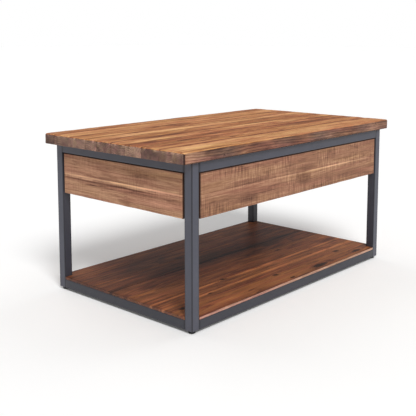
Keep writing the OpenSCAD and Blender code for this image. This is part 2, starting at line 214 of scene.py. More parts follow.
class Shape:
    """Points and faces that are gathered into one mesh."""

    def __init__(self):
        self.points, self.faces, self.count = [], [], 0

    def add(self, points, faces):
        self.points.append(np.asarray(points, float))
        self.faces += [[i + self.count for i in f] for f in faces]
        self.count += len(points)

    def sweep(self, loops, cap_start=True, cap_end=True):
        """Joins closed loops of equal length, one per station, into a skin."""
        n = len(loops[0])
        at = np.arange(len(loops) * n).reshape(-1, n)
        after = np.roll(at, -1, axis=1)
        faces = list(np.stack([at[:-1], after[:-1], after[1:], at[1:]], -1).reshape(-1, 4))
        if cap_start:
            faces.append(at[0, ::-1])
        if cap_end:
            faces.append(at[-1])
        self.add(np.concatenate(loops), faces)

    def lathe(self, origin, axis, profile, segments):
        """A turned shape: profile is (distance along the axis, radius) from start to end."""
        origin, axis = np.array(origin, float), np.array(axis, float)
        axis /= np.linalg.norm(axis)
        ring = circle(*square_to(axis), segments)
        self.sweep([origin + axis * t + ring * max(r, 0.01) for t, r in profile])

    def wire(self, path, radius, segments):
        """A round wire along a line of points."""
        path = np.asarray(path, float)
        tangent = np.gradient(path, axis=0)
        tangent /= np.linalg.norm(tangent, axis=1)[:, None]
        normal = np.cross(tangent[0], (1.0, 0.2, 0.1))
        loops = []
        for point, t, r in zip(path, tangent, np.broadcast_to(radius, len(path))):
            normal = normal - t * (normal @ t)
            normal /= np.linalg.norm(normal)
            loops.append(point + r * circle(normal, np.cross(t, normal), segments))
        self.sweep(loops)

    def object(self, name, material, crease=0):
        return mesh(name, np.concatenate(self.points), self.faces, material, crease)

    def piece(self, node, material, crease=0):
        return stands_for(self.object(f"v_{node}", material, crease), [node])


# ---- materials ----


def srgb(*rgb):
    """A colour given as 0 to 255 screen values, as linear RGBA."""
    shares = [c / 255 for c in rgb]
    linear = [c / 12.92 if c <= 0.04045 else ((c + 0.055) / 1.055) ** 2.4 for c in shares]
    return (*linear, 1.0)


def scaled_colour(colour, factor, lift=0.0):
    """The colour made lighter or darker, no channel above 1."""
    return tuple(min(1.0, factor * c + lift) for c in colour[:3]) + (1.0,)


class Graph:
    """A material with a Principled shader, and short calls that add nodes to it."""

    def __init__(self, name, **sockets):
        self.material = bpy.data.materials.new(name)
        self.material.use_nodes = True
        self.tree = self.material.node_tree
        self.tree.nodes.clear()
        self.bsdf = self.node("BsdfPrincipled", sockets)
        out = self.node("OutputMaterial")
        self.tree.links.new(self.bsdf.outputs[0], out.inputs[0])
        self.place = self.node("TexCoord").outputs["Object"]
        self.mm = self.scaled(self.place, (1000, 1000, 1000))

    def put(self, socket, value):
        """Links the value to the socket, or sets it there if it is a constant."""
        if isinstance(value, bpy.types.NodeSocket):
            self.tree.links.new(value, socket)
        else:
            socket.default_value = value

    def node(self, kind, values=None, **settings):
        made = self.tree.nodes.new("ShaderNode" + kind)
        for key, value in settings.items():
            setattr(made, key, value)
        for key, value in (values or {}).items():
            self.put(made.inputs[key], value)
        return made

    def math(self, operation, *values):
        return self.node("Math", dict(enumerate(values)), operation=operation).outputs[0]

    def times(self, a, b):
        return self.math("MULTIPLY", a, b)

    def plus(self, start, value, weight):
        return self.math("MULTIPLY_ADD", value, weight, start)

    def scaled(self, vector, scales):
        return self.node("VectorMath", {0: vector, 1: scales}, operation="MULTIPLY").outputs[0]

    def noise(self, vector, scales, detail=2.0, roughness=0.5, distortion=0.0):
        """Noise of the vector times scales, which may be one number for all three axes."""
        scales = tuple(np.broadcast_to(scales, 3).tolist())
        values = {"Vector": self.scaled(vector, scales), "Scale": 1.0, "Detail": detail}
        values |= {"Roughness": roughness, "Distortion": distortion}
        return self.node("TexNoise", values).outputs[0]

    def remap(self, value, a, b, c=0.0, d=1.0):
        """c where the value is a, d where it is b, smooth between them."""
        values = {0: value, 1: a, 2: b, 3: c, 4: d}
        return self.node("MapRange", values, interpolation_type="SMOOTHSTEP").outputs[0]

    def ramp(self, factor, *stops):
        made = self.node("ValToRGB", {0: factor})
        elements = made.color_ramp.elements
        while len(elements) < len(stops):
            elements.new(0.5)
        for element, (position, colour) in zip(elements, stops):
            element.position, element.color = position, colour
        return made.outputs[0]

    def mix(self, factor, a, b, blend="MIX"):
        values = {0: factor, 6: a, 7: b}
        return self.node("Mix", values, data_type="RGBA", blend_type=blend).outputs[2]

    def read(self, name, output="Fac"):
        return self.node("Attribute", attribute_name=name).outputs[output]

    def sum(self, start, *terms):
        """start plus each (value, weight) of a value that is centred on 0.5."""
        total = start
        for value, weight in terms:
            centred = self.math("MULTIPLY_ADD", value, weight, -weight / 2)
            total = self.math("ADD", total, centred)
        return total

    def around(self, noise, factor):
        """The noise with its swing about one half multiplied by factor."""
        return self.math("MULTIPLY_ADD", self.math("SUBTRACT", noise, 0.5), factor, 0.5)

    def finish(self, colour, roughness, height=None, distance=0.0003, strength=0.5):
        """Feeds the shader. height is a bump, distance metres deep."""
        self.put(self.bsdf.inputs["Base Color"], colour)
        self.put(self.bsdf.inputs["Roughness"], roughness)
        if height is not None:
            bump = self.node("Bump", {"Strength": strength, "Distance": distance, "Height": height})
            self.put(self.bsdf.inputs["Normal"], bump.outputs[0])
        return self.material


# Noises of the timber: scale along and across the grain per mm, detail, roughness, distortion
BEND = ((0.0011, 0.008, 0.008), 2.0)
WAVER = ((0.008, 0.06, 0.06), 2.0)
STREAK = ((0.0055, 0.2, 0.2), 5.0, 0.68, 0.3)
FLAME = ((0.0022, 0.045, 0.045), 3.0, 0.55, 0.4)
FIBRE = ((0.035, 0.9, 0.9), 3.0, 0.65)
PORE = ((0.013, 0.3, 0.3), 3.0, 0.7)
FLECK = ((0.01, 0.07, 0.07), 3.0, 0.65)
SPECKLE = ((0.03, 0.1, 0.1), 4.0, 0.72)
HUE = ((0.004, 0.05, 0.05), 2.0)
KERF = ((0.4, 0.02, 0.02), 3.0, 0.6, 0.4)
SAWN_PATCH = ((0.007, 0.02, 0.02), 2.0)

RING_WIDTH = 5.0  # mm
RAMP = (0.035, 0.35, 0.665, 1.0)  # places of the dark, mid, light and pale colours
RAMP_SHARE = 0.7  # of the ramp, for a value of 1
PALE = 1.5  # times the light colour
REDDISH, PLAIN, YELLOWISH = (1.06, 0.9, 1.0, 1.0), (1.0, 1.0, 1.0, 1.0), (1.0, 1.03, 0.88, 1.0)
# Brown of knots, and of the painted shade lines stored with them
KNOT_AND_SHADE_BROWN = srgb(48, 27, 20)


def wood(name, face, side, along=0, saw=0.0, gloss=0.5, streaks=1.0, rings=0.25, tint=1.0):
    """Solid timber, its grain along X, or along Y where along is 1.

    face and side are the dark, mid and light colours. Each board stores pith, the line that its
    growth rings lie round, and tone, side and a value for knots and painted shade lines at its points.
    """
    g = Graph(name, **{"Specular IOR Level": 0.25})
    place = g.mm
    if along == 1:
        xyz = g.node("SeparateXYZ", {0: place}).outputs
        place = g.node("CombineXYZ", {0: xyz[1], 1: xyz[0], 2: xyz[2]}).outputs[0]
    pith = g.read("pith", "Vector")
    grain = g.node("VectorMath", {0: place, 1: pith}, operation="ADD").outputs[0]
    tone, edge, knot = g.read("tone"), g.read("side"), g.read("knot")

    part = g.node("SeparateXYZ", {0: grain}).outputs
    across = g.times(part[1], part[1])
    upright = g.times(part[2], part[2])
    radius = g.math("SQRT", g.math("ADD", across, upright))
    bend, waver = g.noise(grain, *BEND), g.noise(grain, *WAVER)
    radius = g.sum(radius, (bend, 60.0), (waver, 4.0), (knot, -10.0))
    late = g.math("POWER", g.math("FRACT", g.math("DIVIDE", radius, RING_WIDTH)), 2.0)

    calm = g.plus(1.0, edge, -0.8)
    streak, flame, fibre = (g.noise(grain, *kind) for kind in (STREAK, FLAME, FIBRE))
    value = g.sum(g.math("ADD", tone, 0.5), (g.around(streak, calm), 1.75 * streaks))
    value = g.sum(value, (g.around(flame, calm), 0.85 * streaks), (late, -rings), (fibre, 0.5))
    pores = g.remap(g.noise(grain, *PORE), 0.6, 0.72)
    value = g.plus(value, pores, -0.38)
    # Dark and light flecks in the grain; the light ones are partly painted glints.
    fleck = g.noise(grain, *FLECK)
    dark_flecks = g.remap(fleck, 0.56, 0.66, 0.0, -0.28)
    light_flecks_and_glints = g.remap(fleck, 0.35, 0.44, 0.22, 0.0)
    flecks_and_glints = g.math("ADD", dark_flecks, light_flecks_and_glints)
    value = g.plus(value, flecks_and_glints, g.times(calm, streaks))
    value = g.sum(value, (g.around(g.noise(grain, *SPECKLE), edge), 0.8))
    value = g.plus(value, g.times(late, edge), -0.25)
    height = g.sum(0.5, (fibre, 0.6), (late, -0.3), (pores, -0.5))

    if saw:
        kerf = g.noise(place, *KERF)
        patch = g.remap(g.noise(place, *SAWN_PATCH), 0.33, 0.6)
        marks = g.times(g.math("SUBTRACT", kerf, 0.5), patch)
        deep = g.times(g.remap(kerf, 0.62, 0.74), patch)
        value = g.plus(value, deep, -0.3 * saw)
        value = g.plus(value, marks, 1.3 * saw)
        height = g.plus(height, marks, 1.6 * saw)

    value = g.times(value, RAMP_SHARE)

    def shades(colours):
        stops = [srgb(*colour) for colour in colours]
        return g.ramp(value, *zip(RAMP, stops + [scaled_colour(stops[-1], PALE)]))

    colour = g.mix(edge, shades(face), shades(side))
    hues = g.ramp(g.noise(grain, *HUE), (0.3, REDDISH), (0.5, PLAIN), (0.7, YELLOWISH))
    colour = g.mix(tint, colour, hues, "MULTIPLY")
    # Knots, and painted shade lines stored with them, turn dark brown.
    colour = g.mix(g.remap(knot, 0.3, 0.75), colour, KNOT_AND_SHADE_BROWN)
    rough = g.sum(gloss, (streak, 0.2), (fibre, 0.15))
    return g.finish(colour, rough, height, 0.0006, 0.45)


def paint(name, colour, worn, gloss=0.45):
    """Powder coat on steel: slight orange peel, a soft cloudiness, rubbed edges, and painted shade where a piece
    stores it.
    """
    g = Graph(name, **{"Specular IOR Level": 0.45})
    cloud = g.noise(g.mm, 0.012, 3.0)
    peel = g.noise(g.mm, 0.9, 2.0)
    scuff = g.noise(g.mm, 0.08, 4.0, 0.7)
    base = g.mix(g.remap(cloud, 0.3, 0.7), colour, scaled_colour(colour, 1.14))
    rub = g.times(g.read("rub"), g.remap(scuff, 0.45, 0.7))
    base = g.mix(g.times(rub, 0.22), base, worn)
    # Painted shade: the attribute read here darkens the paint to about a third of its colour.
    base = g.mix(g.read("grime"), base, scaled_colour(colour, 0.35))
    rough = g.sum(gloss, (scuff, 0.25), (peel, 0.08))
    return g.finish(base, rough, g.sum(0.5, (peel, 0.8), (scuff, 0.3)), 0.00012, 0.5)


def metal(name, colour, gloss=0.35, dark=0.6):
    """Zinc plated steel with dull patches."""
    g = Graph(name, Metallic=0.9)
    cloud = g.noise(g.mm, 0.15, 3.0)
    fine = g.noise(g.mm, 1.5, 2.0)
    base = g.mix(g.remap(cloud, 0.3, 0.75), colour, scaled_colour(colour, dark))
    return g.finish(base, g.sum(gloss, (cloud, 0.3), (fine, 0.1)), fine, 0.00008, 0.4)


def moulded(name, colour, gloss=0.55):
    """Rubber or plastic with a fine moulded texture."""
    g = Graph(name, **{"Specular IOR Level": 0.35})
    fine = g.noise(g.mm, 1.1, 3.0)
    dust = g.noise(g.mm, 0.06, 3.0)
    base = g.mix(g.remap(dust, 0.4, 0.8), colour, scaled_colour(colour, 1.6, 0.004))
    return g.finish(base, g.sum(gloss, (fine, 0.2)), fine, 0.0001, 0.4)


TOP_WOOD = wood(
    "top_wood",
    [(102, 52, 27), (180, 113, 65), (220, 166, 112)],
    [(64, 47, 43), (112, 86, 77), (172, 138, 118)],
    gloss=0.55, streaks=1.15,
)
SHELF_WOOD = wood(
    "shelf_wood",
    [(48, 27, 23), (106, 62, 42), (158, 100, 62)],
    [(120, 84, 70), (186, 142, 120), (216, 178, 154)],
    gloss=0.45, streaks=0.75,
)
APRON = [(88, 54, 42), (149, 106, 81), (204, 158, 124)]
SAWN_LONG = {"saw": 1.4, "gloss": 0.65, "streaks": 0.45, "rings": 0.1, "tint": 0.6}
SAWN_END = {"along": 1, "saw": 0.5, "gloss": 0.65, "streaks": 0.5, "rings": 0.15, "tint": 0.6}
APRON_LONG = wood("apron_wood_long", APRON, APRON, **SAWN_LONG)
APRON_END = wood("apron_wood_end", APRON, APRON, **SAWN_END)
BOX = [(92, 58, 40), (144, 100, 70), (186, 142, 104)]
BOX_WOOD = wood("box_wood", BOX, BOX, gloss=0.6, streaks=0.6)
BOX_WOOD_END = wood("box_wood_end", BOX, BOX, along=1, gloss=0.6, streaks=0.6)
FRAME_PAINT = paint("frame_paint", srgb(73, 74, 85), srgb(120, 122, 128))
BRACKET_PAINT = paint("bracket_paint", srgb(34, 34, 37), srgb(96, 96, 98), 0.4)
ZINC = metal("zinc_steel", srgb(196, 194, 188))
PLASTIC = moulded("foot_plastic", srgb(26, 26, 28), 0.5)
RUBBER = moulded("buffer_rubber", srgb(24, 24, 25), 0.75)


# ---- timber ----

EDGES = [(a, sa, b, sb) for a, b in ((1, 2), (0, 2), (0, 1)) for sa in (-1, 1) for sb in (-1, 1)]


def ease_all(p, low, high, radius):
    for edge in EDGES:
        ease(p, low, high, *edge, radius)


def spots(p, marks, seed):
    """Soft marks at (u, v, half length, half width, strength), with uneven outlines."""
    total = 0.0
    for n, (u, v, ru, rv, strength) in enumerate(marks):
        d = np.hypot((p[:, 0] - u) / ru, (p[:, 1] - v) / rv)
        d = d + 0.35 * noise(seed + n, p[:, 0] / ru * 1.3, p[:, 1] / rv * 1.3)
        total = total + strength * (1 - step(0.35, 1.1, d))
    return total


def knot_field(p, knots):
    """1 at the middle of the nearest knot (u, v, half length, half width), 0 away from it."""
    total = 0.0
    for n, (u, v, ru, rv) in enumerate(knots):
        d = np.hypot((p[:, 0] - u) / ru, (p[:, 1] - v) / rv)
        d += 0.2 * noise(90 + n, p[:, 0] / 6, p[:, 1] / 4)
        total = np.maximum(total, 1 - np.clip(d, 0, 1))
    return total


def board(node, points, faces, material, tone, pith, side=0.0, knot=0.0):
    """A wooden piece, with the values at its points that the wood material reads."""
    made = mesh(f"v_{node}", points, faces, material)
    store(made, tone=tone, side=side, knot=knot, pith=pith)
    stands_for(made, [node])


def clear_of_legs():
    """Half the length and depth of the space between the legs, with 1 mm of air."""
    corner = box_mm("leg_front_left")[1]
    return -corner[0] - 1, -corner[1] - 1


# Staves of the top, from the front: tone of the upper face and of the end grain
TOP_TONES = [0.14, 0.0, -0.1, 0.12, -0.06, 0.2, -0.02, 0.12, -0.04]
END_TONES = [0.02, -0.16, 0.28, 0.08, -0.04, 0.14, 0.14, 0.04, -0.18]
# Marks: u is x, and v is y on the upper face and z on the long sides
TOP_MARKS = [
    (-280, -8, 190, 26, -0.26), (240, -118, 330, 10, -0.4), (-330, -128, 190, 9, -0.26),
    (-95, 150, 75, 32, -0.3), (-230, 62, 190, 24, 0.26), (-60, -215, 200, 10, -0.2),
    (330, 60, 200, 9, -0.3), (200, 210, 260, 12, -0.22), (-400, 210, 120, 9, -0.2),
    (-200, -186, 18, 9, -0.4), (120, -262, 240, 14, 0.16), (420, 175, 110, 14, -0.26),
    (-440, -250, 80, 30, 0.25), (-420, 120, 100, 26, 0.15), (-470, -60, 60, 14, 0.2),
    (80, -30, 160, 14, 0.14), (430, -60, 100, 40, -0.16), (-150, -165, 120, 12, 0.2),
]
SIDE_MARKS = [
    (-505, 492, 50, 40, 0.18), (-430, 500, 60, 20, -0.2), (-330, 480, 60, 9, 0.1),
    (-240, 494, 80, 20, -0.06), (-120, 484, 60, 10, 0.1), (-20, 494, 70, 20, -0.06),
    (110, 488, 90, 12, 0.1), (230, 492, 90, 20, -0.1), (440, 494, 80, 20, 0.14),
]
SIDE_KNOTS = [(-374, 485, 8, 8), (442, 501, 8, 7)]


def round_stave(p, a, b, first, last):
    """Rounds the edges of a stave: deep and uneven round the slab, slight along the joints."""
    x, y = p[:, 0].copy(), p[:, 1].copy()
    arris = 3.4 + 1.5 * noise(5, y / 11) + 0.8 * noise(6, y / 3)
    worn = arris * (1 + 0.8 * step(45, 5, y - a[1])) if first else arris
    outer = 2.8 + 1.2 * noise(7, x / 38) + 0.6 * noise(8, x / 9)
    for ea, sa, eb, sb in EDGES:
        if (ea, eb) == (1, 2):
            outside = first if sa < 0 else last
            radius = (outer if sb > 0 else 1.2) if outside else (0.7 if sb > 0 else 0.4)
        elif (ea, eb) == (0, 2):
            radius = 1.2 if sb < 0 else (worn if sa > 0 else arris)
        elif first if sb < 0 else last:
            radius = 2.2 if first and sa < 0 else 11.0
        else:
            radius = 0.5
        ease(p, a, b, ea, sa, eb, sb, radius)


def top_slab():
    """The staves of the top, with sagging joints, end grain at the ends, darker sides, and painted shade down the
    near corner and along the bottom of the long sides.
    """
    nodes = sorted(n for n in BODY_OF if n.startswith("top_stave_"))
    low, high = box_mm(*nodes)
    fine = (0.3, 0.8, 1.6, 3.0, 5.0)
    knot_lines = [u + d for u, *_ in SIDE_KNOTS for d in (-3, 0, 3)]
    for i, node in enumerate(nodes):
        a, b = box_mm(node)
        first, last = i == 0, i == len(nodes) - 1
        p, quads = lattice(
            np.union1d(ticks(a[0], b[0], 6.0, fine + (7.0, 9.0)), knot_lines),
            ticks(a[1], b[1], 4.5, fine + ((7.5, 10.0) if first or last else ())),
            ticks(a[2], b[2], 5.0, fine),
        )
        p0 = p.copy()
        round_stave(p, a, b, first, last)
        x, y, z = p0.T
        to_end = depth_in(x, low[0], high[0])
        to_side = depth_in(y, low[1], high[1])
        to_joint = depth_in(y, a[1], b[1])
        middle = (y - (a[1] + b[1]) / 2) / (b[1] - a[1])
        sag = 0.16 + 0.16 * noise(11, x / 70, y / 13) + 0.5 * middle**2
        sag += np.exp(-to_end / 7) * (0.7 + 0.6 * noise(12, y / 16, x / 400) + 2.2 * middle**2)
        sag += np.exp(-to_side / 5) * (0.5 + 0.4 * noise(13, x / 30))
        p[:, 2] -= sag * np.clip((z - (high[2] - 10)) / 10, 0, 1)
        short = (0.5 + 0.5 * noise(15, i * 3.7)) * 0.7
        rough_end = 0.25 + 0.25 * noise(14, y / 5, z / 5) + short
        p[:, 0] -= np.sign(x) * rough_end * np.clip(1 - to_end / 8, 0, 1)
        rough_side = 0.3 + 0.3 * noise(16, x / 22, z / 9)
        p[:, 1] -= np.sign(y) * rough_side * np.clip(1 - to_side / 6, 0, 1)

        below = step(high[2] - 0.5, high[2] - 2.4, z)
        at_end, at_side = (to_end < 0.2) * below, (to_side < 0.2) * below
        # Painted shade: a dark line down the near vertical corner of the slab, in its tone and with the knots.
        near_corner = step(4.5, 2.2, np.maximum(x - low[0], y - low[1])) * below
        inside = to_side > 5
        tone = TOP_TONES[i] + spots(p0, TOP_MARKS, 40) + 0.08 * noise(18 + i, x / 160, y / 30)
        seam = 0.42 * step(5.0, 2.5, to_joint) + 0.45 * step(1.7, 0.7, to_joint)
        tone -= seam * (0.65 + 0.35 * noise(21 + i, x / 50)) * inside
        end_look = END_TONES[i] + 0.16 * noise(17 + i, y / 14, z / 12)
        torn = step(0.1, 0.5, noise(28, y / 8)) * step(high[2] - 9, high[2] - 4, z)
        end_look += 0.4 * torn - 0.3 * step(1.2, 0.3, to_joint)
        side_look = spots(p0[:, [0, 2]], SIDE_MARKS, 27) - 0.12 + 0.1 * noise(26, x / 40, z / 12)
        tone = tone * (1 - at_end) + end_look * at_end
        tone = tone * (1 - at_side) + side_look * at_side - 1.2 * near_corner
        side = np.maximum(at_end * 0.95, at_side * (0.78 + 0.2 * noise(29, x / 90)))

        joint = step(3.2, 1.6, to_joint) * step(-0.1, 0.35, noise(30 + i, x / 70))
        joint = joint * (z > high[2] - 2) * inside
        # Painted shadow: a dark line along the bottom of the long sides, over the rails.
        under = step(low[2] + 3.6, low[2] + 1.8, z) * at_side
        knots = knot_field(p0[:, [0, 2]], SIDE_KNOTS) * at_side
        # Knots, the painted shade lines and dark joints, stored together with the knots.
        dark = np.maximum.reduce([knots, 0.62 * near_corner, 0.6 * joint, 0.65 * under])
        pith_y = -(a[1] + b[1]) / 2 + 25 * sin(i * 2.4)
        pith = (i * 811.0, pith_y, -low[2] + 30 + 12 * cos(i * 1.9))
        board(node, p, quads, TOP_WOOD, tone, pith, side, dark)


# Tones of the shelf boards, from the front: their own tone, with painted shade making the boards under the box
# darker. Then marks and knots
SHELF_TONES_AND_SHADE = [0.16, 0.12, 0.08, 0.02, -0.08, -0.04, 0.0]
SHELF_MARKS = [
    (-400, -80, 110, 30, 0.24), (-150, -250, 280, 34, 0.2), (0, 60, 300, 40, -0.22),
    (300, 30, 150, 34, -0.24), (-387, -8, 60, 14, -0.3), (-103, 132, 30, 15, -0.45),
    (440, -120, 50, 40, -0.26), (-260, 60, 240, 12, -0.28), (150, -270, 50, 16, -0.3),
    (330, 150, 120, 60, -0.2), (-100, -10, 190, 20, 0.22), (30, -90, 160, 16, 0.16),
    (-280, 190, 200, 40, -0.1), (400, -265, 50, 14, 0.25),
]
SHELF_KNOTS = [
    (333, -218, 26, 15), (-30, -224, 28, 14), (152, -269, 72, 22),
    (390, -268, 50, 20), (-177, -127, 24, 13), (-300, -184, 18, 9),
    (206, -56, 30, 11), (-448, -212, 30, 15), (-10, -278, 24, 10),
]
SHELF_SEAMS = [(-180, 0.6), (-131, 0.7), (-44, 0.3), (42, -0.4), (126, 0.35)]  # y and tone


def shelf():
    """The shelf boards, notched round the legs and let down between the bottom rails."""
    nodes = sorted(n for n in BODY_OF if n.startswith("shelf_board_"))
    low, high = box_mm(*nodes)
    inner_x, inner_y = clear_of_legs()
    lip = box_mm("bottom_rail_front")[1][2]
    seam_lines = [y + d for y, _ in SHELF_SEAMS for d in (-7, -4, 4, 7)]

    def filled(x, y, z):
        corner = (abs(x) > inner_x) & (abs(y) > inner_y)
        under = (abs(x) < inner_x) & (abs(y) < inner_y)
        return ~corner & (under | (z > lip))

    for i, node in enumerate(nodes):
        a, b = box_mm(node)
        xs = with_lines(ticks(a[0], b[0], 5.0), (-inner_x - 2, -inner_x, inner_x, inner_x + 2))
        ys = with_lines(ticks(a[1], b[1], 4.5), [-inner_y, inner_y] + seam_lines)
        zs = np.unique(np.concatenate([ticks(a[2], lip, 5.0), ticks(lip, b[2], 3.0)]).round(3))
        p, quads = lattice(xs, ys, zs, filled)
        p0 = p.copy()
        x, y, z = p0.T
        for side, outermost in ((-1, 0), (1, len(nodes) - 1)):
            radius = 1.1 if i == outermost else 0.8 + 0.3 * noise(60 + i, x / 40)
            ease(p, a, b, 1, side, 2, 1, radius)
        for side in (-1, 1):
            ease(p, a, b, 0, side, 2, 1, 1.2)
        sag = 0.1 + 0.1 * noise(51, x / 80, y / 15)
        p[:, 2] -= sag * np.clip((z - lip) / (high[2] - lip), 0, 1)

        to_end = depth_in(x, low[0], high[0])
        edge = np.minimum(to_end, depth_in(y, low[1], high[1]))
        at_end = to_end < 0.2
        side = ((edge < 0.2) & (z > lip - 0.1)) * step(high[2] - 0.2, high[2] - 1.0, z)
        side = side * np.where(at_end, 0.1, 1.0)
        tone = SHELF_TONES_AND_SHADE[i] + spots(p0, SHELF_MARKS, 70) + 0.06 * noise(52 + i, x / 200)
        to_joint = depth_in(y, a[1], b[1])
        tone -= 0.25 * step(1.2, 0.4, to_joint) * (0.6 + 0.4 * noise(53 + i, x / 60))
        for v, strength in SHELF_SEAMS:
            uneven = 0.7 + 0.5 * noise(v, x / 50)
            tone += strength * step(7.1, 3.9, abs(y - v)) * uneven
        rim = np.exp(-np.maximum(edge - 0.5, 0) / 3.0) * (edge > 0.3) * (z > high[2] - 1)
        tone = (tone - 0.25 * rim) * (1 - side) + 0.1 * noise(54, x / 50, y / 50) * side
        tone -= 0.25 * at_end
        pith_y = -(a[1] + b[1]) / 2 + 30 * sin(i * 1.7 + 1)
        pith = (i * 977.0, pith_y, -low[2] + 60 + 20 * cos(i * 2.3))
        knot = knot_field(p0, SHELF_KNOTS)
        board(node, p, quads, SHELF_WOOD, tone, pith, side, knot)


# Boards of the apron: seed, light of the line at the seam, and marks. v is z
APRONS = {
    "front_apron_upper": (
        101, 0.0,
        [(30, 395, 60, 12, -0.2), (190, 420, 40, 14, -0.14), (-330, 410, 120, 12, 0.1)],
    ),
    "front_apron_lower": (
        111, 0.34,
        [(-250, 345, 60, 16, -0.22), (20, 362, 50, 18, -0.22), (300, 340, 90, 14, -0.12)],
    ),
    "rear_apron_upper": (121, 0.0, [(-100, 410, 80, 12, -0.2), (250, 400, 60, 14, -0.15)]),
    "rear_apron_lower": (131, 0.3, [(150, 350, 80, 16, -0.2), (-300, 345, 70, 12, -0.2)]),
    "left_apron_upper": (141, 0.0, [(60, 404, 40, 10, -0.16), (-90, 412, 70, 12, -0.14)]),
    "left_apron_lower": (
        151, 0.45,
        [(90, 371, 260, 3.5, -0.6), (0, 362, 290, 9, -0.2), (-30, 330, 40, 12, -0.25)]
        + [(-180, 350, 60, 14, 0.12)],
    ),
    "right_apron_upper": (161, 0.0, [(-60, 408, 50, 12, -0.16)]),
    "right_apron_lower": (171, 0.35, [(60, 350, 70, 14, -0.2)]),
}


def apron(node, seed, seam_light, marks):
    """A board with saw marks on its face, a line along the seam, and painted shade at its ends and along the top
    of the upper board.
    """
    a, b = box_mm(node)
    long_side, upper = node.startswith(("front", "rear")), node.endswith("upper")
    run, across = (0, 1) if long_side else (1, 0)
    fine = (0.4, 1.0, 2.0, 3.5)
    lines = [None, None, ticks(a[2], b[2], 4.0, fine + (5.5, 7.0, 8.0, 9.5))]
    lines[run] = ticks(a[run], b[run], 2.5, fine)
    lines[across] = ticks(a[across], b[across], 6.0, fine)
    p, quads = lattice(*lines)
    p0 = p.copy()
    along, z = p0[:, run], p0[:, 2]
    out, face = (-1, a[across]) if a[across] < 0 else (1, b[across])
    for ea, sa, eb, sb in EDGES:
        radius = 0.9 + 0.4 * noise(seed, along / 17, z / 17)
        if (ea, eb) == (across, 2):
            at_seam = (sb < 0) == upper
            radius = (0.5 if at_seam else 1.2) + 0.3 * noise(seed + 1, along / 20)
        ease(p, a, b, ea, sa, eb, sb, radius)
    sawn = step(-0.2, 0.5, noise(seed + 3, along / 80, z / 40))
    kerf = noise(seed + 2, along / 2.1, z / 60) * sawn
    depth = 0.22 + 0.1 * kerf + 0.1 * noise(seed + 4, along / 40, z / 12)
    p[:, across] -= out * depth * np.clip(1 - abs(p0[:, across] - face) / 3, 0, 1)
    if not upper:
        wobble = 0.35 + 0.35 * noise(seed + 5, along / 35)
        p[:, 2] += wobble * np.clip(1 - (z - a[2]) / 8, 0, 1)

    to_seam = (z - a[2]) if upper else (b[2] - z)
    tone = (0.0 if long_side else 0.11) + spots(np.stack([along, z], 1), marks, seed + 9)
    strength = 0.5 + 0.5 * noise(seed + 6, along / 90)
    tone += step(6.5, 3.4, to_seam) * strength * 1.9 * seam_light
    tone -= 0.175 * step(1.2, 0.4, to_seam)
    to_rim = depth_in(along, a[run], b[run])
    crack = 0.0
    if upper:
        to_rim = np.minimum(to_rim, b[2] - z)
    else:
        tone += step(26, 4, z - a[2]) * 0.1 * noise(seed + 8, along / 120)
        crack = step(9.4, 7.8, to_seam) * step(5.6, 7.0, to_seam)
        crack = crack * step(-0.2, 0.2, noise(seed + 7, along / 45))
    # Painted shade: dark lines at the ends against the legs and under the top rails, stored with the knots.
    knot = np.maximum(0.68 * step(4.2, 2.4, to_rim), (0.2 if long_side else 0.55) * crack)
    middle = (a + b) / 2
    pith = (seed * 37.0, -middle[across] + 40, -middle[2] + (35 if upper else -30))
    timber = APRON_LONG if long_side else APRON_END
    board(node, p, quads, timber, tone, pith, 0.0, knot)


# ---- steel frame ----

LEGS = ("front_left", "front_right", "rear_left", "rear_right")
WALL = 1.5  # mm, of the tube
OUTER_RADIUS, INNER_RADIUS = 1.9, 0.8  # mm, of its corners
MOUTH = 20.0  # mm, modelled depth of an open end


def ring_profile(half, radius):
    """Points round a square with round corners. half is half its width."""
    arcs = []
    for quarter, (sx, sy) in enumerate(((1, 1), (-1, 1), (-1, -1), (1, -1))):
        turn = quarter * pi / 2 + np.linspace(0, pi / 2, 5)
        middle = np.array([sx, sy]) * (half - radius)
        arcs.append(middle + radius * np.column_stack([np.cos(turn), np.sin(turn)]))
    points = []
    for arc, following in zip(arcs, arcs[1:] + arcs[:1]):
        side = following[0] - arc[-1]
        points += list(arc) + [arc[-1] + side * s for s in (0.1, 0.35, 0.65, 0.9)]
    return np.array(points)


